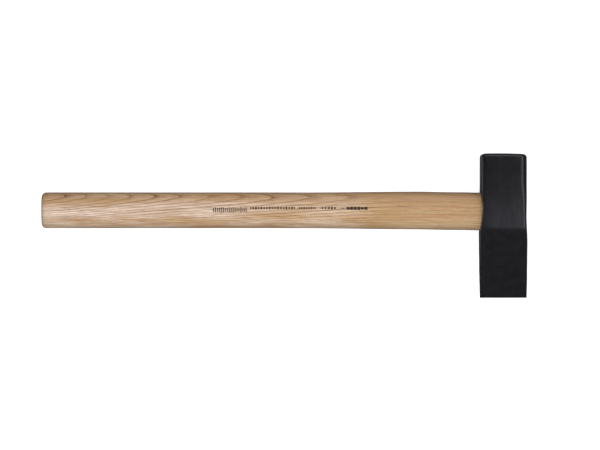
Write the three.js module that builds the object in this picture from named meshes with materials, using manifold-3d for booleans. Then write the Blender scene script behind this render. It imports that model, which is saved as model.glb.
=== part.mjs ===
// A splitting maul: a forged steel head on a straight ash handle. The handle's tenon fills the oval eye of
// the head. A wooden wedge in the tenon's saw kerf spreads it, and two barbed steel wedges across the
// wooden one lock it.
//
// Millimetres, +Z up. The maul lies on one cheek of its head. X runs along the handle towards the head, and
// Y from the cutting edge to the poll. The origin is on the cheek that it lies on, under the middle of the
// eye. Every piece is drawn about the maul's middle plane, z = 0, and the group lifts them onto the cheek.

import * as THREE from "three";
import { mergeVertices } from "three/addons/utils/BufferGeometryUtils.js";
import Module from "manifold-3d";

// Head.
const POLL_Y = 71.4; // striking face
const POLL_ROUND = 4.5; // rounding between the striking face and the sides
const HEAD_HALF_THICKNESS = 28.7; // middle plane to a cheek
const TAPER_Y = -21.6; // where the parallel cheeks break into the blade's taper
const TAPER_BLEND = 4; // each side of that break
const MOST_ROUNDED = 0.8; // a corner's radius is at most this share of the half thickness
const HANDLE_SIDE_ROUND = 0.7; // of the corners on the handle's side, to those at the head's top
const EDGE_Y = -106.5; // cutting edge
const BEVEL_TOP_Y = EDGE_Y + 7; // top of the ground bevel along the cutting edge
const BEVEL_HALF_THICKNESS = 4;
const EDGE_HALF_THICKNESS = 0.75; // a maul's edge is blunt

// Handle.
const BUTT_X = -569.2;
const BUTT_ROUND = 5.5;
const TENON_END_X = 27; // the tenon is trimmed just below the head's top face
const OVAL_POWER = 2.35; // of the superellipse section: 2 is an ellipse, and more is squarer
const KERF_BOTTOM_X = -17;
const KERF_BOTTOM_HALF = 1;

// Wedges, driven from the tenon's end.
const FIT_GAP = 0.3; // left between driven pieces, which touch on a real maul
const WOOD_WEDGE = { tipX: -12.5, tipHalf: 0.8, topHalf: 3.1, sideInset: 0.9 };
const STEEL_WEDGE = { length: 28, width: 21, tipHalf: 0.9, topHalf: 2.5, barbs: 5, barbDepth: 0.4 };
const STEEL_WEDGE_OFFSET = 9.5; // from the eye's middle, along Y
const STEEL_WEDGE_TURN = THREE.MathUtils.degToRad(33); // away from square across the wooden wedge

// Facets.
const OVAL_STEPS = 44;
const ARC_STEPS = 6;
// Places where a section is drawn, closest together at the eye's mouths, where sections change most.
const EYE_PLACES = [...places(-32, -22, 2), ...places(-16, 20, 6), ...places(23, 32, 2)];
const GRIP_PLACES = [...places(-560, -36, 28), ...places(-33, -21, 2)];
const TENON_PLACES = places(-16, 24, 5);

const wasm = await Module();
wasm.setup();

// ---- helpers ----

// A length that eases between stations along an axis, [place, length], and is level at each of them.
function eased(stations) {
  return (at) => {
    const next = stations.findIndex(([place]) => at <= place);
    if (next === 0) return stations[0][1];
    if (next < 0) return stations.at(-1)[1];
    const [from, start] = stations[next - 1];
    const [to, end] = stations[next];
    return THREE.MathUtils.lerp(start, end, THREE.MathUtils.smoothstep(at, from, to));
  };
}

// Places from start to end in equal steps of at most the given size.
function places(start, end, step) {
  const count = Math.ceil((end - start) / step);
  return Array.from({ length: count + 1 }, (_, i) => THREE.MathUtils.lerp(start, end, i / count));
}

// The steps of a quarter-round at the end of a piece: how far each lies from the end, and how far in.
function quarterRound(radius) {
  return Array.from({ length: ARC_STEPS + 1 }, (_, i) => {
    const turn = (Math.PI / 2) * (i / ARC_STEPS);
    return { fromEnd: radius * (1 - Math.cos(turn)), inset: radius * (1 - Math.sin(turn)) };
  });
}

// A closed skin over rings of points, with a flat fan over each end.
function loft(rings) {
  const count = rings[0].length;
  const middle = (ring) => ring.reduce((sum, p) => sum.add(p), new THREE.Vector3()).divideScalar(count);
  const points = [...rings.flat(), middle(rings[0]), middle(rings.at(-1))];
  const firstMiddle = rings.length * count;
  const lastRing = firstMiddle - count;
  const index = [];
  for (let k = 0; k < count; k++) {
    const next = (k + 1) % count;
    for (let ring = 0; ring < lastRing; ring += count) {
      index.push(ring + k, ring + next, ring + count + next);
      index.push(ring + k, ring + count + next, ring + count + k);
    }
    index.push(firstMiddle, next, k);
    index.push(firstMiddle + 1, lastRing + k, lastRing + next);
  }
  return new THREE.BufferGeometry().setFromPoints(points).setIndex(index);
}

// An outline in X and Y, [x, y] points, with its width along Z centred on z = 0.
function prism(outline, width) {
  const shape = new THREE.Shape(outline.map(([x, y]) => new THREE.Vector2(x, y)));
  const geometry = new THREE.ExtrudeGeometry(shape, { depth: width, bevelEnabled: false });
  return geometry.translate(0, 0, -width / 2);
}

// A trapezium that tapers along X, from tipHalf at the tip to topHalf at the top.
function taper(tipX, tipHalf, topX, topHalf) {
  return [[tipX, -tipHalf], [topX, -topHalf], [topX, topHalf], [tipX, tipHalf]];
}

function solidOf(geometry) {
  const bare = new THREE.BufferGeometry().setAttribute("position", geometry.getAttribute("position"));
  const merged = mergeVertices(bare.setIndex(geometry.getIndex()), 1e-3);
  return new wasm.Manifold(
    new wasm.Mesh({
      numProp: 3,
      vertProperties: merged.getAttribute("position").array,
      triVerts: new Uint32Array(merged.getIndex().array),
    }),
  );
}

function geometryOf(solid) {
  const mesh = solid.getMesh();
  return new THREE.BufferGeometry()
    .setAttribute("position", new THREE.BufferAttribute(mesh.vertProperties, 3))
    .setIndex(new THREE.BufferAttribute(mesh.triVerts, 1));
}

function cut(geometry, cutters) {
  return geometryOf(cutters.reduce((left, cutter) => left.subtract(solidOf(cutter)), solidOf(geometry)));
}

// ---- the eye, an oval hole along X: narrowest inside, flared at both mouths ----

const eyeHalfDepth = eased([[-30.5, 24.9], [-23.5, 22.3], [-6, 21.7], [24.5, 23.1], [30, 24.2]]);
const eyeHalfWidth = eased([[-30.5, 17.9], [-23.5, 15.3], [-6, 14.8], [24.5, 16.2], [30, 17.3]]);

// An oval ring across X.
function ovalRing(x, halfDepth, halfWidth, middleY = 0) {
  const round = (value) => Math.sign(value) * Math.abs(value) ** (2 / OVAL_POWER);
  return Array.from({ length: OVAL_STEPS }, (_, i) => {
    const turn = (2 * Math.PI * (i + 0.5)) / OVAL_STEPS;
    const y = middleY + halfDepth * round(Math.cos(turn));
    return new THREE.Vector3(x, y, halfWidth * round(Math.sin(turn)));
  });
}

function eyeHole() {
  return loft(EYE_PLACES.map((x) => ovalRing(x, eyeHalfDepth(x), eyeHalfWidth(x))));
}

// ---- head ----

// From the eye's middle to the face that the handle enters, and to the opposite face, the head's top.
const handleSide = eased([[EDGE_Y, 29.1], [-62, 29.4], [-30, 29.4], [5, 26.35], [22, 28.3]]);
const topSide = eased([[EDGE_Y, 29.2], [-40, 28.95], [-5, 27.65], [24, 28.1]]);
const cornerRadius = eased([[-45, 1.6], [-25, 3.6], [5, 4], [40, 7.2]]);

// Parallel cheeks, then a taper that starts softly, then the ground bevel.
function headHalfThickness(y) {
  const { mapLinear } = THREE.MathUtils;
  if (y < BEVEL_TOP_Y) return mapLinear(y, EDGE_Y, BEVEL_TOP_Y, EDGE_HALF_THICKNESS, BEVEL_HALF_THICKNESS);
  const slope = (HEAD_HALF_THICKNESS - BEVEL_HALF_THICKNESS) / (TAPER_Y - BEVEL_TOP_Y);
  const past = THREE.MathUtils.clamp(TAPER_Y - y, -TAPER_BLEND, Infinity);
  if (past > TAPER_BLEND) return HEAD_HALF_THICKNESS - slope * past;
  return HEAD_HALF_THICKNESS - (slope * (past + TAPER_BLEND) ** 2) / (4 * TAPER_BLEND);
}

// A rounded rectangle across Y, drawn in by inset all round.
function headRing(y, inset = 0) {
  const half = headHalfThickness(y) - inset;
  const left = inset - handleSide(y);
  const right = topSide(y) - inset;
  const radius = Math.min(cornerRadius(y) - inset, MOST_ROUNDED * half);
  const near = Math.min(cornerRadius(y) * HANDLE_SIDE_ROUND - inset, MOST_ROUNDED * half);
  const corners = [
    [right - radius, radius - half, radius],
    [left + near, near - half, near],
    [left + near, half - near, near],
    [right - radius, half - radius, radius],
  ];
  return corners.flatMap(([x, z, round], corner) =>
    Array.from({ length: ARC_STEPS + 1 }, (_, i) => {
      const turn = (Math.PI / 2) * (i / ARC_STEPS + corner);
      return new THREE.Vector3(x + round * Math.cos(turn), y, z - round * Math.sin(turn));
    }),
  );
}

function headGeometry() {
  const along = [
    EDGE_Y,
    ...places(BEVEL_TOP_Y, TAPER_Y - TAPER_BLEND, 7),
    ...places(TAPER_Y - TAPER_BLEND / 2, TAPER_Y + TAPER_BLEND, TAPER_BLEND / 2),
    ...places(TAPER_Y + TAPER_BLEND + 4, POLL_Y - POLL_ROUND, 4.5),
  ];
  const poll = quarterRound(POLL_ROUND).toReversed().slice(1);
  const rings = [
    ...along.map((y) => headRing(y)),
    ...poll.map(({ fromEnd, inset }) => headRing(POLL_Y - fromEnd, inset)),
  ];
  return cut(loft(rings), [eyeHole()]);
}

// ---- wedges ----

function woodWedgeGeometry(pockets) {
  const { tipX, tipHalf, topHalf, sideInset } = WOOD_WEDGE;
  const rings = places(tipX, TENON_END_X, 5).map((x) => {
    const halfZ = THREE.MathUtils.mapLinear(x, tipX, TENON_END_X, tipHalf, topHalf);
    const halfY = eyeHalfDepth(x) - sideInset;
    const corners = [[-1, -1], [1, -1], [1, 1], [-1, 1]];
    return corners.map(([sideY, sideZ]) => new THREE.Vector3(x, sideY * halfY, sideZ * halfZ));
  });
  return cut(loft(rings), pockets);
}

// A steel wedge, its barbs stepping in towards its top end so that it can't back out.
function steelWedgeGeometry() {
  const { length, width, tipHalf, topHalf, barbs, barbDepth } = STEEL_WEDGE;
  const side = Array.from({ length: barbs }, (_, i) => {
    const [start, end] = [i / barbs, (i + 1) / barbs];
    const half = (share) => THREE.MathUtils.lerp(tipHalf, topHalf, share);
    return [[length * (start - 1), half(start) - barbDepth], [length * (end - 1), half(end)]];
  }).flat();
  const otherSide = side.map(([x, half]) => [x, -half]).toReversed();
  return prism([...side, ...otherSide], width);
}

// The pocket that a steel wedge makes in the wood, with the fitting gap all round.
function steelWedgePocket() {
  const { length, width, tipHalf, topHalf } = STEEL_WEDGE;
  const steepness = (topHalf - tipHalf) / length;
  const openHalf = topHalf + FIT_GAP + steepness * length; // the taper carried on past the tenon's end
  const outline = taper(-length - FIT_GAP, tipHalf + FIT_GAP, length, openHalf);
  return prism(outline, width + 2 * FIT_GAP);
}

// Turns and moves a steel wedge, or its pocket, from its own frame to its place across the wooden wedge.
function placeSteelWedge(object, side) {
  object.rotation.x = STEEL_WEDGE_TURN;
  object.position.set(TENON_END_X, side * STEEL_WEDGE_OFFSET, 0);
  object.updateMatrix();
  return object;
}

// ---- handle ----

// The grip's depth grows towards the head, and its middle moves from the poll's side to the eye's middle.
const gripHalfDepth = eased([[-250, 22.1], [-100, 23.3]]);
const gripHalfWidth = eased([[BUTT_X + BUTT_ROUND, 17], [-430, 16.2], [-220, 16.2], [-45, 17.2]]);
const gripMiddle = eased([[-330, 1.5], [-110, 1.2], [-55, 0.4], [-30, 0]]);

// The handle's oval section: the grip's own, or the eye's less the fitting gap where that is smaller.
function handleRing(x, inset = 0) {
  const halfDepth = Math.min(gripHalfDepth(x), eyeHalfDepth(x) - FIT_GAP) - inset;
  const halfWidth = Math.min(gripHalfWidth(x), eyeHalfWidth(x) - FIT_GAP) - inset;
  return ovalRing(x, halfDepth, halfWidth, gripMiddle(x));
}

// The kerf, sprung open by the wooden wedge, right across the tenon.
function kerf() {
  const topX = 2 * TENON_END_X;
  const topHalf = THREE.MathUtils.mapLinear(
    topX,
    WOOD_WEDGE.tipX,
    TENON_END_X,
    WOOD_WEDGE.tipHalf + FIT_GAP,
    WOOD_WEDGE.topHalf + FIT_GAP,
  );
  const opened = taper(WOOD_WEDGE.tipX, WOOD_WEDGE.tipHalf + FIT_GAP, topX, topHalf);
  const outline = [[KERF_BOTTOM_X, -KERF_BOTTOM_HALF], ...opened, [KERF_BOTTOM_X, KERF_BOTTOM_HALF]];
  return prism(outline, 4 * HEAD_HALF_THICKNESS).rotateX(Math.PI / 2);
}

function handleGeometry(pockets) {
  const butt = quarterRound(BUTT_ROUND);
  const along = [...GRIP_PLACES, ...TENON_PLACES, TENON_END_X];
  const rings = [
    ...butt.map(({ fromEnd, inset }) => handleRing(BUTT_X + fromEnd, inset)),
    ...along.map((x) => handleRing(x)),
  ];
  return cut(loft(rings), [kerf(), ...pockets]);
}

// ---- materials and assembly ----

function paintedSteel() {
  return new THREE.MeshStandardMaterial({ color: 0x26262a, roughness: 0.42, metalness: 0.25 });
}

function ash() {
  return new THREE.MeshStandardMaterial({ color: 0xc6a683, roughness: 0.55, metalness: 0 });
}

function beech() {
  return new THREE.MeshStandardMaterial({ color: 0xb98a5e, roughness: 0.6, metalness: 0 });
}

function bareSteel() {
  return new THREE.MeshStandardMaterial({ color: 0x8e9094, roughness: 0.35, metalness: 1 });
}

function piece(name, geometry, material) {
  const mesh = new THREE.Mesh(geometry, material);
  mesh.name = name;
  return mesh;
}

const steelWedges = [
  placeSteelWedge(piece("steel_wedge_poll_side", steelWedgeGeometry(), bareSteel()), 1),
  placeSteelWedge(piece("steel_wedge_edge_side", steelWedgeGeometry(), bareSteel()), -1),
];
const pockets = steelWedges.map((wedge) => steelWedgePocket().applyMatrix4(wedge.matrix));

const maul = new THREE.Group();
maul.add(
  piece("head", headGeometry(), paintedSteel()),
  piece("handle", handleGeometry(pockets), ash()),
  piece("kerf_wedge", woodWedgeGeometry(pockets), beech()),
  ...steelWedges,
);
maul.position.z = HEAD_HALF_THICKNESS;

export default maul;
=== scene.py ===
"""A splitting maul lying on one cheek of its black forged head, with an ash handle wedged into the oval eye.

Shapes are in millimetres until a mesh is made. Materials, lights and the camera are in metres. X runs along
the handle towards the head, Y from the cutting edge to the poll, and Z up. Outlines follow the same profiles
as the CAD part.
"""

import math

import bpy
from mathutils import Matrix, Vector, noise


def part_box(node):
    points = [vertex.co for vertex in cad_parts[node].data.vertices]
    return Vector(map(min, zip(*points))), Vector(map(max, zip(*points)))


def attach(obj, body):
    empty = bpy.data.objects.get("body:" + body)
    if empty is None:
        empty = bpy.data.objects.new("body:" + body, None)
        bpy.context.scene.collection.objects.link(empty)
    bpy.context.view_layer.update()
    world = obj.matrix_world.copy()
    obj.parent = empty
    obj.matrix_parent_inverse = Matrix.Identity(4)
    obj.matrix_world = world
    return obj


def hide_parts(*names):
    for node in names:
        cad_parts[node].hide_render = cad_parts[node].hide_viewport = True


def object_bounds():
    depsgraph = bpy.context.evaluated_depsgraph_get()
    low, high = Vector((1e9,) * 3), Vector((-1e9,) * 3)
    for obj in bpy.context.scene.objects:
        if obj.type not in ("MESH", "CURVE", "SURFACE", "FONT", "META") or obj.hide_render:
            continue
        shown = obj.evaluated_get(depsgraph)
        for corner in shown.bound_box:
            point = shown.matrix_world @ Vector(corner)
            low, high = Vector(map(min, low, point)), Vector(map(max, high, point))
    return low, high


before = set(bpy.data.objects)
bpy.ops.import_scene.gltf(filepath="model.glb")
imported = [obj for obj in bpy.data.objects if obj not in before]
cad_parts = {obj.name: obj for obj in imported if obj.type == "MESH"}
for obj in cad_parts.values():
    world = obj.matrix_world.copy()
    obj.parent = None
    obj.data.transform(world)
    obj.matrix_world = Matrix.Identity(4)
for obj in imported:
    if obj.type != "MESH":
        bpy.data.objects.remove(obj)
cad_low, cad_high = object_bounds()

MM = 0.001
MIDDLE_Z = sum(corner[2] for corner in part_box("head")) / 2 / MM
SHARP_DEGREES = 35  # edges over this stay sharp

# ---- head, mm ----
POLL_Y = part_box("head")[1][1] / MM
EDGE_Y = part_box("head")[0][1] / MM
HALF_THICKNESS = MIDDLE_Z
POLL_ROUND = 4.5
TAPER_Y = -21.6
TAPER_BLEND = 4
BEVEL_TOP_Y = EDGE_Y + 7
BEVEL_HALF = 4
EDGE_HALF = 0.75
MOST_ROUNDED = 0.8  # a corner's radius is at most this share of the half thickness
HANDLE_SIDE_ROUND = 0.7  # of the corners on the handle's side, to those at the head's top
CROWN = 0.50  # how far each cheek falls away to its sides
CROWN_POWER = 4  # it stays flat in the middle
CHEEK_HOLLOW = 1.3  # and how far from its thickest, where the taper starts, to the poll
CHEEK_HOLLOW_POWER = 3.5  # it falls mostly near the taper
TAPER_SKEW = 0.035  # the taper starts a little lower towards the head's top
POLL_CROWN = 0.6  # how far the striking face falls away to its sides
POLL_TOP_X = -8  # where that face stands highest
FORGE_DEPTH = 0.22  # how far the forged skin dips
FORGE_SCALE = 0.045  # of the dips, per mm
FORGE_NOISE = (0.8, 2.1, 4)  # their fractal increment, lacunarity and octaves
FORGE_FULL = 24  # the dips are at full depth this far from the middle planes
BEVEL_STEP, FACE_STEP, BLEND_STEP = 1, 1.3, 0.5  # between rings of the bevel, the flat faces and the blend
BLEND_START, BLEND_END = 0.4, 1  # the steps into the blend and out of it
POLL_FACE_RINGS = (0.85, 0.7, 0.55, 0.4, 0.25, 0.1)  # shares of the striking face's outline

# ---- eye, mm ----
EYE_FROM_X, EYE_TO_X, EYE_STEP = -22, 24, 1.5  # rings between the two rims
MOUTH_ROUND = 0.8  # rounded rim of the eye
MOUTH_STEPS = 6
CUTTER_Y = -36  # the cutter ends past the head's sides, measured here
CUTTER_PAST = 3  # by this much
CUTTER_FLARE = 2

# ---- handle, mm ----
BUTT_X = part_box("handle")[0][0] / MM
TENON_END_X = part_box("handle")[1][0] / MM
BUTT_ROUND = 5.5
OVAL_POWER = 2.35
KERF_BOTTOM_X = -17
KERF_BOTTOM_HALF = 1
KERF_CUTTER_HALF = 60
BUTT_STEP, GRIP_STEP, SHOULDER_STEP, TENON_STEP = 3, 4, 0.7, 2
SHOULDER_FROM_X, SHOULDER_TO_X = -35, -21  # where the grip narrows into the eye

# ---- wedges, mm ----
FIT_GAP = 0.3
WOOD_TIP_X, WOOD_TIP_HALF, WOOD_TOP_HALF, WOOD_SIDE_INSET = -12.5, 0.8, 3.1, 0.9
STEEL_LENGTH, STEEL_WIDTH, STEEL_TIP_HALF, STEEL_TOP_HALF = 28, 21, 0.9, 2.5
STEEL_BARBS = 5
STEEL_BARB_DEPTH = 0.4
STEEL_SHARP_DEGREES = 20
STEEL_OFFSET = 9.5
STEEL_TURN = math.radians(33)

# ---- lacquer, m ----
GROUND_FROM, GROUND_TO = (-0.024, -0.018), (0.004, 0.024)  # along Y, grinding marks appear, and fade
LIGHTEN_FROM = (-0.030, -0.010)  # along X, the colour over them lightens
# The roughness where the taper starts, and at the poll. It stays above 0.27, because a wider ramp rendered
# with a dotted line across the cheek where it passed that.
LACQUER_ROUGHNESS = (0.345, 0.29)
LACQUER_ROUGHNESS_MOTTLE = (-0.008, 0.008)

# ---- ash, m, along the handle from the butt ----
STRIPE_FADES = (0.20, 0.34)
WHITE_FADES = (0.33, 0.40)
BLUSH_STARTS = (0.36, 0.44)
RINGS_FADE = (0.37, 0.46)
YELLOW_STARTS = (0.38, 0.42)
EDGES_DIFFER = (0.38, 0.46)
# along Y
FLANK = (0.003, 0.013)  # from the upper face to the flank where the arches run
# where painted shade darkens the upper edge near the head, and where the lower edge is paler
SHADED_UPPER_EDGE, LOWER_EDGE = (0.004, 0.016), (-0.014, -0.004)
STRIPE_OFFSET, STRIPE_SLOPE = -0.002, 0.03  # of the stripe's middle line, from the butt
STRIPE_EDGE = (0.004, 0.012)  # from that line

# Growth rings are cylinders about a pith line far below the stick, on the cutting edge's side. It moves
# towards the stick's own line along the grip, and away again over the part nearest the head. The rings show
# as nested arches along the flank that faces away from the pith, and as nearly straight lines over the rest
# of the upper face. The pith's place is measured from the axis, as a start, then shares of the distance from
# the butt and, for Y, of its square.
PITH_Y = (-0.0513, 0.0816, -0.0528)
PITH_Z = (-0.0600, 0.0084)
PITH_TURNS = 0.41  # from the butt, where the pith starts to turn away
PITH_TURN = 0.32  # how fast, as a share of the square of the distance from there
RING = 0.00159
RING_START = 0.9  # of a ring, at the pith
RING_WANDER, RING_RIPPLE = 0.0016, 0.0007
RING_LATE, RING_LINE, RING_ENDS = (0.30, 0.88), (0.74, 0.90), (0.91, 0.99)  # shares of a ring, outwards

# Generic print on the face that lies up: (start, end, middle Y, height, bar pitch, share inked), in mm, with
# the starts and ends along X. The marks are bars and dashes, with no letters.
PRINT = (
    (-358, -316, 2.0, 6.8, 2.4, 0.54),
    (-312, -257, 4.2, 3.5, 3.4, 0.66),
    (-253, -231, 4.2, 3.5, 2.9, 0.64),
    (-226, -206, 4.2, 3.5, 3.8, 0.64),
    (-201, -196, 4.0, 1.2, 6.0, 1.00),
    (-194, -167, 3.9, 4.4, 4.4, 0.90),
)
SHORTEST_BAR = 0.55  # as a share of the tallest

# ---- stage, light and camera, m ----
MIDDLE = (cad_low + cad_high) / 2
LENGTH = cad_high.x - cad_low.x
FLOOR_SIZE = 30.0
FLOOR_DROP = 0.0002
FLOOR_GLOW = 0.72
FLOOR_BOUNCE = 0.22
AMBIENT = 0.17
BACKDROP = 0.9
CAMERA_DISTANCE = 5.0
CAMERA_FAR = 100
SENSOR = 36.0
FRAME_WIDTH = 1.2370 * LENGTH  # seen at the middle of the maul's thickness
CAMERA_SHIFT = Vector((0.0193, 0.0009, 0))  # of the camera's axis from the middle of the maul
# (name, place from the middle of the maul, width, height, watts, whether it lights, whether it is mirrored)
LIGHTS = (
    ("top_light", (-0.20, -0.20, 2.50), 1.6, 1.6, 49, True, False),
    ("head_light", (1.42, 0.60, 2.05), 1.6, 1.6, 14.5, True, True),
    ("end_light", (2.40, 0.00, 0.60), 1.2, 0.8, 5, True, False),
    ("poll_card", (0.40, 1.65, 1.35), 1.6, 1.0, 8, False, True),
    ("butt_card", (-2.0, 0.1, 0.25), 1.4, 0.8, 6, False, True),
)


# ---- shapes ----


def eased(*stations):
    """A length that eases between stations along an axis, (place, length), and is level at each of them."""

    def at(place):
        if place <= stations[0][0]:
            return stations[0][1]
        for (start, a), (end, b) in zip(stations, stations[1:]):
            if place <= end:
                t = (place - start) / (end - start)
                return a + (b - a) * t * t * (3 - 2 * t)
        return stations[-1][1]

    return at


def spread(start, end, step):
    """Places from start to end in equal steps of at most the given size."""
    count = math.ceil((end - start) / step)
    return [start + (end - start) * i / count for i in range(count + 1)]


def quarter_round(radius, steps=10):
    """(how far from the end, how far in) for the steps of a quarter-round, from the end inwards."""
    turns = [math.pi / 2 * i / steps for i in range(steps + 1)]
    return [(radius * (1 - math.cos(t)), radius * (1 - math.sin(t))) for t in turns]


eye_half_depth = eased((-30.5, 24.9), (-23.5, 22.3), (-6, 21.7), (24.5, 23.1), (30, 24.2))
eye_half_width = eased((-30.5, 17.9), (-23.5, 15.3), (-6, 14.8), (24.5, 16.2), (30, 17.3))
handle_side = eased((EDGE_Y, 29.1), (-62, 29.4), (-30, 29.4), (5, 26.35), (22, 28.3))
top_side = eased((EDGE_Y, 29.2), (-40, 28.95), (-5, 27.65), (24, 28.1))
corner_radius = eased((-45, 1.6), (-25, 3.6), (5, 4.0), (40, 7.2))
grip_half_depth = eased((-250, 22.1), (-100, 23.3))
grip_half_width = eased((BUTT_X + BUTT_ROUND, 17), (-430, 16.2), (-220, 16.2), (-45, 17.2))
grip_middle = eased((-330, 1.5), (-110, 1.2), (-55, 0.4), (-30, 0))
crown_share = eased((-60, 0), (-18, 1))  # the blade is flat
skew_share = eased((-75, 0), (-30, 1), (-10, 1), (30, 0))
poll_share = eased((POLL_Y - 18, 0), (POLL_Y, 1))


def mesh_object(name, points, faces, material, sharp_degrees=SHARP_DEGREES):
    """A smooth-shaded mesh from points in mm about the middle plane."""
    mesh = bpy.data.meshes.new(name)
    mesh.from_pydata([(x * MM, y * MM, (z + MIDDLE_Z) * MM) for x, y, z in points], [], faces)
    made = bpy.data.objects.new(name, mesh)
    bpy.context.scene.collection.objects.link(made)
    shade(mesh, sharp_degrees)
    if material:
        mesh.materials.append(material)
    return made


def shade(mesh, sharp_degrees):
    """Smooth shading, but with edges over this angle left sharp."""
    mesh.polygons.foreach_set("use_smooth", [True] * len(mesh.polygons))
    mesh.set_sharp_from_angle(angle=math.radians(sharp_degrees))
    mesh.update()


def loft(rings):
    """(points, faces) of a closed skin over rings, with a fan over each end."""
    count = len(rings[0])
    points = [p for ring in rings for p in ring]
    last = len(points) - count
    for ring in (rings[0], rings[-1]):
        points.append(tuple(sum(p[k] for p in ring) / count for k in range(3)))
    faces = []
    for k in range(count):
        after = (k + 1) % count
        for ring in range(0, last, count):
            faces.append((ring + k, ring + after, ring + count + after, ring + count + k))
        faces.append((last + count, after, k))
        faces.append((last + count + 1, last + k, last + after))
    return points, faces


def prism(outline, half_width):
    """(points, faces) of an outline in X and Y, anticlockwise, with its width along Z."""
    count = len(outline)
    points = [(x, y, z) for z in (-half_width, half_width) for x, y in outline]
    faces = [(k, (k + 1) % count, count + (k + 1) % count, count + k) for k in range(count)]
    faces.append(tuple(reversed(range(count))))
    faces.append(tuple(range(count, 2 * count)))
    return points, faces


def cut(target, cutters, sharp_degrees=SHARP_DEGREES):
    """Cuts the cutters out of the target, and deletes them."""
    for cutter in cutters:
        modifier = target.modifiers.new("cut", "BOOLEAN")
        modifier.operation = "DIFFERENCE"
        modifier.solver = "EXACT"
        modifier.object = cutter
    evaluated = target.evaluated_get(bpy.context.evaluated_depsgraph_get())
    mesh = bpy.data.meshes.new_from_object(evaluated)
    target.modifiers.clear()
    target.data = mesh
    shade(mesh, sharp_degrees)
    for cutter in cutters:
        bpy.data.objects.remove(cutter)


def oval_ring(x, half_depth, half_width, middle_y=0, count=96):
    """A superellipse across X. x may be a function of y, for a ring that follows a curved face."""
    ring = []
    for i in range(count):
        turn = 2 * math.pi * (i + 0.5) / count
        y = middle_y + half_depth * math.copysign(abs(math.cos(turn)) ** (2 / OVAL_POWER), math.cos(turn))
        z = half_width * math.copysign(abs(math.sin(turn)) ** (2 / OVAL_POWER), math.sin(turn))
        ring.append((x(y) if callable(x) else x, y, z))
    return ring


# ---- head ----


def head_half_thickness(y):
    """Parallel cheeks, then the blade's taper, then the ground bevel."""
    if y < BEVEL_TOP_Y:
        return EDGE_HALF + (BEVEL_HALF - EDGE_HALF) * (y - EDGE_Y) / (BEVEL_TOP_Y - EDGE_Y)
    slope = (HALF_THICKNESS - BEVEL_HALF) / (TAPER_Y - BEVEL_TOP_Y)
    past = max(TAPER_Y - y, -TAPER_BLEND)
    if past > TAPER_BLEND:
        return HALF_THICKNESS - slope * past
    return HALF_THICKNESS - slope * (past + TAPER_BLEND) ** 2 / (4 * TAPER_BLEND)


def head_ring(y, inset=0, arc=8, flat=36):
    """A rounded rectangle across Y, with its flats divided."""
    half = head_half_thickness(y) - inset
    left, right = inset - handle_side(y), top_side(y) - inset
    radius = min(corner_radius(y) - inset, MOST_ROUNDED * half)
    near = min(corner_radius(y) * HANDLE_SIDE_ROUND - inset, MOST_ROUNDED * half)
    corners = [
        (right - radius, radius - half, radius, 0),
        (right - radius, half - radius, radius, 1),
        (left + near, half - near, near, 2),
        (left + near, near - half, near, 3),
    ]
    ring = []
    for x, z, rounding, corner in corners:
        for i in range(arc + 1):
            turn = math.pi / 2 * (i / arc + corner - 1)
            ring.append((x + rounding * math.cos(turn), y, z + rounding * math.sin(turn)))
    # divide each flat between two corners
    divided = []
    for i, p in enumerate(ring):
        divided.append(p)
        if (i + 1) % (arc + 1) == 0:
            q = ring[(i + 1) % len(ring)]
            divided += [tuple(p[k] + (q[k] - p[k]) * j / flat for k in range(3)) for j in range(1, flat)]
    return divided


def crowned(point):
    """The point moved as hand forging leaves it: cheeks not quite flat, and a taper not quite square."""
    x, y, z = point
    from_poll = min(max((POLL_Y - y) / (POLL_Y - TAPER_Y), 0), 1)
    hollow = CHEEK_HOLLOW * (1 - from_poll**CHEEK_HOLLOW_POWER)
    sink = hollow + CROWN * crown_share(y) * (x / HALF_THICKNESS) ** CROWN_POWER
    skew = TAPER_SKEW * x * skew_share(y)
    poll_fall = POLL_CROWN * poll_share(y) * ((x - POLL_TOP_X) / HALF_THICKNESS) ** 2
    return (x, y - skew - poll_fall, z - math.copysign(sink * min(abs(z) / HALF_THICKNESS, 1), z))


def forged(point):
    """The point sunk a little towards the head's middle, as a hammered skin is."""
    p = Vector(point)
    depth = FORGE_DEPTH * (0.5 + 0.5 * math.tanh(noise.fractal(p * FORGE_SCALE, *FORGE_NOISE)))
    x, y, z = p
    sink_x = math.copysign(depth * min(abs(x) / FORGE_FULL, 1), x)
    sink_z = math.copysign(depth * min(abs(z) / FORGE_FULL, 1), z)
    return (x - sink_x, y, z - sink_z)


def eye_ring(x, at, grow=0):
    """The eye's oval at one place along X, grown outwards, and set at x, which may be a function of Y."""
    return oval_ring(x, eye_half_depth(at) + grow, eye_half_width(at) + grow)


def eye_rim(side, outward):
    """Rings from outside the head to the bottom of the rim's rounding, which follows the head's side."""
    bottom = outward * (side(0) - MOUTH_ROUND)
    rings = [eye_ring(outward * (side(CUTTER_Y) + CUTTER_PAST), bottom, CUTTER_FLARE)]
    for depth, grow in quarter_round(MOUTH_ROUND, MOUTH_STEPS):

        def below_side(y, depth=depth):
            return outward * (side(y) - depth)

        rings.append(eye_ring(below_side, below_side(0), grow))
    return rings


def eye_cutter():
    """The eye, with its rims rounded where they meet the sides of the head."""
    inside = [eye_ring(x, x) for x in spread(EYE_FROM_X, EYE_TO_X, EYE_STEP)]
    rings = eye_rim(handle_side, -1) + inside + eye_rim(top_side, 1)[::-1]
    return mesh_object("cutter_eye", *loft(rings), None)


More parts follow.
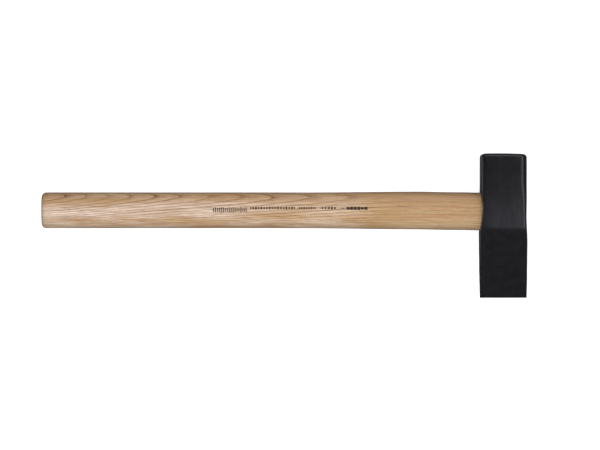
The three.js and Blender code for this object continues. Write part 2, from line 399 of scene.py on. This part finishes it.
def build_head(material):
    along = [
        *spread(EDGE_Y, BEVEL_TOP_Y, BEVEL_STEP),
        *spread(BEVEL_TOP_Y + BEVEL_STEP, TAPER_Y - TAPER_BLEND, FACE_STEP),
        *spread(TAPER_Y - TAPER_BLEND + BLEND_START, TAPER_Y + TAPER_BLEND, BLEND_STEP),
        *spread(TAPER_Y + TAPER_BLEND + BLEND_END, POLL_Y - POLL_ROUND, FACE_STEP),
    ]
    rings = [head_ring(y) for y in along]
    rings += [head_ring(POLL_Y - d, inset) for d, inset in quarter_round(POLL_ROUND)[::-1][1:]]
    face = rings[-1]
    middle = [sum(p[k] for p in face) / len(face) for k in range(3)]
    for share in POLL_FACE_RINGS:
        rings.append([tuple(middle[k] + (p[k] - middle[k]) * share for k in range(3)) for p in face])
    points, faces = loft(rings)
    head = mesh_object("maul_head", [forged(crowned(p)) for p in points], faces, material)
    cut(head, [eye_cutter()])
    return head


# ---- handle and wedges ----


def taper(tip_x, tip_half, top_x, top_half):
    """The outline of a wedge from its tip to its top, in X and Y."""
    return [(tip_x, -tip_half), (top_x, -top_half), (top_x, top_half), (tip_x, tip_half)]


def place_steel(made, side):
    """Turns and moves a steel wedge, or its pocket, to its place across the wooden wedge."""
    middle = Matrix.Translation((0, 0, MIDDLE_Z * MM))
    move = Matrix.Translation((TENON_END_X * MM, side * STEEL_OFFSET * MM, 0))
    made.data.transform(middle @ move @ Matrix.Rotation(STEEL_TURN, 4, "X") @ middle.inverted())
    return made


def steel_pockets():
    """Cutters for the two steel wedges, which keep widening past the tenon's end."""
    steepness = (STEEL_TOP_HALF - STEEL_TIP_HALF) / STEEL_LENGTH
    open_half = STEEL_TOP_HALF + FIT_GAP + steepness * STEEL_LENGTH
    outline = taper(-STEEL_LENGTH - FIT_GAP, STEEL_TIP_HALF + FIT_GAP, STEEL_LENGTH, open_half)
    shape = prism(outline, STEEL_WIDTH / 2 + FIT_GAP)
    return [place_steel(mesh_object("cutter_pocket", *shape, None), side) for side in (1, -1)]


def kerf_cutter():
    """The saw kerf, opened by the wooden wedge."""
    top_x = 2 * TENON_END_X
    steepness = (WOOD_TOP_HALF - WOOD_TIP_HALF) / (TENON_END_X - WOOD_TIP_X)
    top_half = WOOD_TOP_HALF + FIT_GAP + steepness * (top_x - TENON_END_X)
    opened = taper(WOOD_TIP_X, WOOD_TIP_HALF + FIT_GAP, top_x, top_half)
    outline = [(KERF_BOTTOM_X, -KERF_BOTTOM_HALF), *opened, (KERF_BOTTOM_X, KERF_BOTTOM_HALF)]
    points, faces = prism(outline, KERF_CUTTER_HALF)
    return mesh_object("cutter_kerf", [(x, -z, y) for x, y, z in points], faces, None)


def handle_ring(x, inset=0):
    """The grip's oval, or the eye's less the fit gap where that is smaller."""
    depth = min(grip_half_depth(x), eye_half_depth(x) - FIT_GAP) - inset
    width = min(grip_half_width(x), eye_half_width(x) - FIT_GAP) - inset
    return oval_ring(x, depth, width, grip_middle(x))


def build_handle(material):
    rings = [handle_ring(BUTT_X + d, inset) for d, inset in quarter_round(BUTT_ROUND)]
    along = [
        *spread(BUTT_X + BUTT_ROUND + BUTT_STEP, SHOULDER_FROM_X - 1, GRIP_STEP),
        *spread(SHOULDER_FROM_X, SHOULDER_TO_X, SHOULDER_STEP),
        *spread(SHOULDER_TO_X + TENON_STEP, TENON_END_X, TENON_STEP),
    ]
    rings += [handle_ring(x) for x in along]
    handle = mesh_object("maul_handle", *loft(rings), material)
    cut(handle, [kerf_cutter(), *steel_pockets()])
    return handle


def build_kerf_wedge(material):
    rings = []
    for x in spread(WOOD_TIP_X, TENON_END_X, TENON_STEP):
        share = (x - WOOD_TIP_X) / (TENON_END_X - WOOD_TIP_X)
        half_z = WOOD_TIP_HALF + (WOOD_TOP_HALF - WOOD_TIP_HALF) * share
        half_y = eye_half_depth(x) - WOOD_SIDE_INSET
        rings.append([(x, sy * half_y, sz * half_z) for sy, sz in ((-1, -1), (1, -1), (1, 1), (-1, 1))])
    wedge = mesh_object("wooden_wedge", *loft(rings), material)
    cut(wedge, steel_pockets())
    return wedge


def steel_half(share):
    """Half a steel wedge's thickness, at this share of its length from the tip."""
    return STEEL_TIP_HALF + (STEEL_TOP_HALF - STEEL_TIP_HALF) * share


def build_steel_wedge(name, side, material):
    edge = []
    for i in range(STEEL_BARBS):
        start, end = i / STEEL_BARBS, (i + 1) / STEEL_BARBS
        edge.append((STEEL_LENGTH * (start - 1), steel_half(start) - STEEL_BARB_DEPTH))
        edge.append((STEEL_LENGTH * (end - 1), steel_half(end)))
    outline = [(x, -y) for x, y in edge] + edge[::-1]
    points, faces = prism(outline, STEEL_WIDTH / 2)
    return place_steel(mesh_object(name, points, faces, material, STEEL_SHARP_DEGREES), side)


# ---- materials ----


class Nodes:
    """Short calls that add and link shader nodes to one material."""

    def __init__(self, name):
        self.material = bpy.data.materials.new(name)
        self.material.use_nodes = True
        self.tree = self.material.node_tree
        self.shader = self.tree.nodes["Principled BSDF"]
        coordinates = self.tree.nodes.new("ShaderNodeTexCoord").outputs
        self.place, self.facing = coordinates["Object"], coordinates["Normal"]

    def put(self, socket, value):
        if isinstance(value, bpy.types.NodeSocket):
            self.tree.links.new(value, socket)
        else:
            socket.default_value = value

    def math(self, operation, a, b=0.0):
        node = self.tree.nodes.new("ShaderNodeMath")
        node.operation = operation
        self.put(node.inputs[0], a)
        self.put(node.inputs[1], b)
        return node.outputs[0]

    def plus(self, a, b):
        return self.math("ADD", a, b)

    def minus(self, a, b):
        return self.math("SUBTRACT", a, b)

    def times(self, a, b):
        return self.math("MULTIPLY", a, b)

    def axes(self, vector=None):
        node = self.tree.nodes.new("ShaderNodeSeparateXYZ")
        self.put(node.inputs[0], vector or self.place)
        return node.outputs

    def noise(self, scale, detail=3.0, roughness=0.5):
        """Noise over the object: scale is how many features fit in a metre along each axis."""
        stretched = self.tree.nodes.new("ShaderNodeVectorMath")
        stretched.operation = "MULTIPLY"
        self.put(stretched.inputs[0], self.place)
        self.put(stretched.inputs[1], scale)
        node = self.tree.nodes.new("ShaderNodeTexNoise")
        self.put(node.inputs["Vector"], stretched.outputs[0])
        node.inputs["Scale"].default_value = 1
        node.inputs["Detail"].default_value = detail
        node.inputs["Roughness"].default_value = roughness
        return node.outputs["Fac"]

    def one_each(self, value):
        """A random number from 0 to 1 for each whole number that the value passes."""
        node = self.tree.nodes.new("ShaderNodeTexWhiteNoise")
        node.noise_dimensions = "1D"
        self.put(node.inputs["W"], self.math("FLOOR", value))
        return node.outputs["Value"]

    def ramp(self, value, low, high, to_low=0.0, to_high=1.0):
        """Maps low..high to to_low..to_high smoothly."""
        node = self.tree.nodes.new("ShaderNodeMapRange")
        node.interpolation_type = "SMOOTHSTEP"
        for socket, number in zip(node.inputs, (value, low, high, to_low, to_high)):
            self.put(socket, number)
        return node.outputs[0]

    def mix(self, share, a, b):
        """Colour a, changed to b by this share."""
        node = self.tree.nodes.new("ShaderNodeMix")
        node.data_type = "RGBA"
        self.put(node.inputs["Factor"], share)
        self.put(node.inputs["A"], a)
        self.put(node.inputs["B"], b)
        return node.outputs["Result"]

    def bump(self, height, strength, distance, normal=None):
        node = self.tree.nodes.new("ShaderNodeBump")
        node.inputs["Strength"].default_value = strength
        node.inputs["Distance"].default_value = distance
        self.put(node.inputs["Height"], height)
        if normal is not None:
            self.put(node.inputs["Normal"], normal)
        return node.outputs[0]

    def surface(self, color, roughness, normal, metallic=0.0):
        self.put(self.shader.inputs["Base Color"], color)
        self.put(self.shader.inputs["Roughness"], roughness)
        self.put(self.shader.inputs["Metallic"], metallic)
        self.put(self.shader.inputs["Normal"], normal)
        return self.material


def rgb(red, green, blue):
    """Linear colour from sRGB values of 0 to 255, by the standard curve."""
    linear = [((v / 255 + 0.055) / 1.055) ** 2.4 if v > 10 else v / 255 / 12.92 for v in (red, green, blue)]
    return (*linear, 1.0)


def black_lacquer():
    """Satin black paint over a forged skin: mottled and pitted, with fine orange peel, and painted shade
    towards the poll.
    """
    n = Nodes("black_lacquer")
    darker, lighter, lightened, poll_shade = rgb(15, 15, 20), rgb(22, 22, 27), rgb(36, 36, 43), rgb(6, 6, 12)
    x, y, _ = n.axes()
    cheek = (y, TAPER_Y * MM, POLL_Y * MM)
    mottle = n.noise((110, 110, 110), detail=4, roughness=0.6)
    color = n.mix(n.ramp(mottle, 0.35, 0.65), darker, lighter)
    # Grinding marks run along Y, just on the poll's side of the break.
    ground = n.times(n.ramp(y, *GROUND_FROM), n.ramp(y, *GROUND_TO, to_low=1, to_high=0))
    lines = n.noise((330, 40, 330), detail=2, roughness=0.6)
    # The colour is lighter over them, except near the handle.
    thin = n.times(n.ramp(lines, 0.35, 0.65, to_low=0.35, to_high=0.80), ground)
    color = n.mix(n.times(thin, n.ramp(x, *LIGHTEN_FROM)), color, lightened)
    # Painted shade makes it a little darker towards the poll, and it is glossier there.
    color = n.mix(n.ramp(*cheek, to_high=0.9), color, poll_shade)
    roughness = n.ramp(*cheek, *LACQUER_ROUGHNESS)
    roughness = n.plus(roughness, n.ramp(mottle, 0.3, 0.7, *LACQUER_ROUGHNESS_MOTTLE))
    pits = n.ramp(n.noise((260, 260, 260), roughness=0.65), 0.30, 0.42)
    peel = n.noise((430, 430, 430), detail=2)
    normal = n.bump(pits, strength=0.35, distance=0.0002)
    normal = n.bump(peel, strength=0.5, distance=0.00008, normal=normal)
    normal = n.bump(n.times(lines, ground), strength=0.5, distance=0.00012, normal=normal)
    return n.surface(color, roughness, normal)


def wobble(n, scale, amount):
    """Noise about zero, by up to about half the amount either way."""
    return n.times(n.minus(n.noise(scale, detail=2), 0.5), amount)


def growth_rings(n, y, z, along):
    """How many growth rings out from the pith each place is."""
    turned = n.math("POWER", n.math("MAXIMUM", n.minus(along, PITH_TURNS), 0.0), 2.0)
    pith_y = n.plus(n.times(along, PITH_Y[1]), PITH_Y[0])
    pith_y = n.plus(pith_y, n.times(n.times(along, along), PITH_Y[2]))
    pith_y = n.minus(pith_y, n.times(turned, PITH_TURN))
    pith_z = n.plus(n.times(along, PITH_Z[1]), PITH_Z[0] + MIDDLE_Z * MM)
    across = n.plus(n.minus(y, pith_y), wobble(n, (8, 20, 20), RING_WANDER))
    above = n.minus(z, pith_z)
    radius = n.math("SQRT", n.plus(n.times(across, across), n.times(above, above)))
    radius = n.plus(radius, wobble(n, (24, 120, 120), RING_RIPPLE))
    return n.plus(n.math("DIVIDE", radius, RING), RING_START)


def ring_darkness(n, rings, along):
    """Each ring darkens softly outwards, and ends sharply in a line of pores. Some show more than others."""
    phase = n.math("FRACT", rings)
    ended = n.ramp(phase, *RING_ENDS, to_low=1, to_high=0)
    line = n.times(n.ramp(phase, *RING_LINE), ended)
    late = n.times(n.ramp(phase, *RING_LATE), ended)
    dark = n.plus(n.times(line, 0.6), n.times(late, 0.4))
    strength = n.ramp(n.one_each(rings), 0, 1, to_low=0.55, to_high=1.25)
    return n.times(dark, n.times(strength, n.ramp(along, *RINGS_FADE, to_low=1, to_high=0.5)))


def ash_base(n, y, along):
    """The wood's broad colours, with painted shade along the upper edge near the head, and without its
    streaks, rings and pores.
    """
    pale, warm, brown = rgb(230, 206, 180), rgb(206, 170, 132), rgb(178, 140, 94)
    pink, yellow, blush = rgb(238, 216, 200), rgb(186, 150, 98), rgb(194, 148, 114)
    upper, lower = rgb(160, 130, 106), rgb(232, 206, 172)
    color = n.mix(n.ramp(n.noise((12, 60, 60)), 0.35, 0.68), pale, warm)
    # It is browner along the flank where the arches run.
    color = n.mix(n.ramp(y, *FLANK, to_high=0.62), color, brown)
    # A paler, pinker stripe runs obliquely over the half nearest the butt.
    off_stripe = n.math("ABSOLUTE", n.minus(n.minus(y, n.times(along, STRIPE_SLOPE)), STRIPE_OFFSET))
    stripe = n.times(
        n.ramp(off_stripe, *STRIPE_EDGE, to_low=0.75, to_high=0),
        n.ramp(along, *STRIPE_FADES, to_low=1, to_high=0),
    )
    color = n.mix(stripe, color, pink)
    # The part nearest the head is yellower, with broad pinker streaks.
    color = n.mix(n.ramp(along, *YELLOW_STARTS, to_high=0.75), color, yellow)
    blushed = n.ramp(n.noise((7, 150, 150), detail=2), 0.46, 0.64, to_high=0.55)
    color = n.mix(n.times(blushed, n.ramp(along, *BLUSH_STARTS)), color, blush)
    # Painted shade darkens the upper edge there, and the lower one is paler.
    near_head = n.ramp(along, *EDGES_DIFFER)
    color = n.mix(n.times(n.ramp(y, *SHADED_UPPER_EDGE, to_high=0.3), near_head), color, upper)
    return n.mix(n.times(n.ramp(y, *LOWER_EDGE, to_low=0.4, to_high=0), near_head), color, lower)


def ash_streaks(n, color, fibre, y, along):
    """The colour with long streaks through it, some yellower and some nearly white, and with fine fibres."""
    streak = n.noise((13, 400, 400), detail=2, roughness=0.6)
    color = n.mix(n.ramp(streak, 0.50, 0.68, to_high=0.50), color, rgb(188, 150, 104))
    whitest = n.times(
        n.ramp(along, *WHITE_FADES, to_low=1, to_high=0.15),
        n.ramp(y, *FLANK, to_low=1, to_high=0.25),
    )
    whitened = n.times(n.ramp(streak, 0.32, 0.46, to_low=0.60, to_high=0), whitest)
    color = n.mix(whitened, color, rgb(244, 226, 210))
    faded = n.ramp(along, *RINGS_FADE, to_low=1, to_high=0.75)
    return n.mix(n.times(n.ramp(fibre, 0.42, 0.62, to_high=0.52), faded), color, rgb(166, 126, 90))


def ash_wood():
    """Sanded ash under a thin satin lacquer, printed on its upper face."""
    n = Nodes("ash_wood")
    x, y, z = n.axes()
    along = n.minus(x, BUTT_X * MM)
    fibre = n.noise((30, 650, 650), roughness=0.6)
    color = ash_streaks(n, ash_base(n, y, along), fibre, y, along)
    dark = ring_darkness(n, growth_rings(n, y, z, along), along)
    color = n.mix(n.times(dark, 0.72), color, rgb(134, 94, 56))
    # Pores are thickest in the rings' dark lines.
    dashes = n.ramp(n.noise((90, 900, 900), detail=2, roughness=0.6), 0.54, 0.66)
    color = n.mix(n.times(dashes, n.plus(n.times(dark, 0.4), 0.16)), color, rgb(116, 82, 54))
    pores = n.ramp(n.noise((260, 2600, 2600), detail=2, roughness=0.6), 0.52, 0.64)
    pored = n.times(pores, n.plus(n.times(dark, 0.6), 0.10))
    color = n.mix(pored, color, rgb(104, 70, 44))
    # End grain is darker and rougher.
    end_grain = n.ramp(n.math("ABSOLUTE", n.axes(n.facing)[0]), 0.80, 0.98)
    color = n.mix(n.times(end_grain, 0.45), color, rgb(134, 98, 66))
    color = n.mix(n.times(print_marks(n), 0.96), color, rgb(44, 32, 22))
    roughness = n.plus(n.ramp(fibre, 0.3, 0.7, to_low=0.46, to_high=0.58), n.times(end_grain, 0.2))
    relief = n.minus(n.times(fibre, 0.25), pored)
    return n.surface(color, roughness, n.bump(relief, strength=0.35, distance=0.00015))


def print_marks(n):
    """1 on the printed bars, which differ in height, and 0 elsewhere."""
    x, y, z = n.axes()
    marks = 0.0
    for start, end, middle, height, pitch, inked in PRINT:
        in_row = n.times(n.math("GREATER_THAN", x, start * MM), n.math("LESS_THAN", x, end * MM))
        turn = n.math("DIVIDE", x, pitch * MM)
        in_bar = n.math("LESS_THAN", n.math("FRACT", turn), inked)
        share = n.plus(n.times(n.one_each(turn), 1 - SHORTEST_BAR), SHORTEST_BAR)
        off_middle = n.math("ABSOLUTE", n.minus(y, middle * MM))
        in_height = n.math("LESS_THAN", off_middle, n.times(share, height * MM / 2))
        marks = n.math("MAXIMUM", marks, n.times(in_row, n.times(in_bar, in_height)))
    return n.times(marks, n.math("GREATER_THAN", z, MIDDLE_Z * MM))


def beech_wood():
    """Plain beech: even brown with short dark flecks."""
    n = Nodes("beech_wood")
    fleck = n.ramp(n.noise((500, 2600, 900), detail=2, roughness=0.6), 0.56, 0.68)
    cloud = n.noise((90, 260, 260))
    color = n.mix(cloud, rgb(176, 128, 86), rgb(150, 104, 66))
    color = n.mix(n.times(fleck, 0.6), color, rgb(98, 62, 38))
    roughness = n.ramp(cloud, 0.3, 0.7, to_low=0.55, to_high=0.7)
    return n.surface(color, roughness, n.bump(fleck, strength=0.3, distance=0.0001))


def bare_steel():
    """Bare steel with brushed lines, and dents from the hammer that drove it."""
    n = Nodes("bare_steel")
    brushed = n.noise((200, 200, 4200), roughness=0.6)
    dents = n.noise((420, 420, 420), detail=2)
    color = n.mix(n.ramp(dents, 0.35, 0.65), rgb(150, 151, 154), rgb(184, 185, 188))
    roughness = n.ramp(brushed, 0.3, 0.7, to_low=0.28, to_high=0.46)
    normal = n.bump(brushed, strength=0.2, distance=0.00004)
    normal = n.bump(dents, strength=0.5, distance=0.0002, normal=normal)
    return n.surface(color, roughness, normal, metallic=1.0)


def pale_floor():
    """White to the camera, but only mid grey in the light that it gives back, so undersides stay in shade."""
    n = Nodes("pale_floor")
    seen = n.tree.nodes.new("ShaderNodeLightPath").outputs["Is Camera Ray"]
    n.shader.inputs["Emission Color"].default_value = (1, 1, 1, 1)
    n.put(n.shader.inputs["Emission Strength"], n.times(seen, FLOOR_GLOW))
    cloud = n.noise((3, 3, 3), detail=2)
    pale = n.mix(cloud, (0.78, 0.78, 0.78, 1), (0.80, 0.80, 0.80, 1))
    color = n.mix(seen, (FLOOR_BOUNCE, FLOOR_BOUNCE, FLOOR_BOUNCE, 1), pale)
    return n.surface(color, 0.9, n.bump(cloud, strength=0.02, distance=0.0001))


# ---- stage, light and camera ----


def build_floor():
    half = FLOOR_SIZE / 2
    z = cad_low.z - FLOOR_DROP
    mesh = bpy.data.meshes.new("floor")
    corners = [(-half, -half, z), (half, -half, z), (half, half, z), (-half, half, z)]
    mesh.from_pydata(corners, [], [(0, 1, 2, 3)])
    mesh.materials.append(pale_floor())
    floor = bpy.data.objects.new("floor", mesh)
    bpy.context.scene.collection.objects.link(floor)


def soft_light(name, place, width, height, watts, lights, reflects):
    """An ellipse of light facing the maul. It may only light things, or only be mirrored in them."""
    data = bpy.data.lights.new(name, "AREA")
    data.shape = "ELLIPSE"
    data.size = width
    data.size_y = height
    data.energy = watts
    light = bpy.data.objects.new(name, data)
    light.location = MIDDLE + Vector(place)
    light.rotation_euler = (MIDDLE - light.location).to_track_quat("-Z", "Y").to_euler()
    light.visible_diffuse = lights
    light.visible_glossy = reflects
    bpy.context.scene.collection.objects.link(light)


def build_light():
    """A light above, one beyond the head that the lacquer mirrors, a weak one at its end, and two cards."""
    for light in LIGHTS:
        soft_light(*light)
    world = bpy.data.worlds.new("studio")
    bpy.context.scene.world = world
    world.use_nodes = True
    tree = world.node_tree
    background = tree.nodes["Background"]
    background.inputs["Color"].default_value = (1, 1, 1, 1)
    # The backdrop that the camera sees is paler than the light it gives.
    seen = tree.nodes.new("ShaderNodeLightPath").outputs["Is Camera Ray"]
    strength = tree.nodes.new("ShaderNodeMapRange")
    strength.inputs["To Min"].default_value = AMBIENT
    strength.inputs["To Max"].default_value = BACKDROP
    tree.links.new(seen, strength.inputs["Value"])
    tree.links.new(strength.outputs[0], background.inputs["Strength"])


def build_camera():
    data = bpy.data.cameras.new("camera")
    data.sensor_width = SENSOR
    data.lens = SENSOR * CAMERA_DISTANCE / FRAME_WIDTH
    data.clip_end = CAMERA_FAR
    camera = bpy.data.objects.new("camera", data)
    camera.location = MIDDLE + CAMERA_SHIFT + Vector((0, 0, CAMERA_DISTANCE))
    bpy.context.scene.collection.objects.link(camera)
    bpy.context.scene.camera = camera


def main():
    bpy.context.scene.view_settings.view_transform = "Standard"
    steel = bare_steel()
    pieces = (
        (build_head(black_lacquer()), "head", "head_paint"),
        (build_handle(ash_wood()), "handle", "handle_ash"),
        (build_kerf_wedge(beech_wood()), "kerf_wedge", "wedge_beech"),
        (build_steel_wedge("steel_wedge_poll", 1, steel), "steel_wedge_poll_side", "wedge_steel"),
        (build_steel_wedge("steel_wedge_edge", -1, steel), "steel_wedge_edge_side", "wedge_steel"),
    )
    for piece, node, slot in pieces:
        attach(piece, "root")
        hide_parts(node)
    build_floor()
    build_light()
    build_camera()


main()
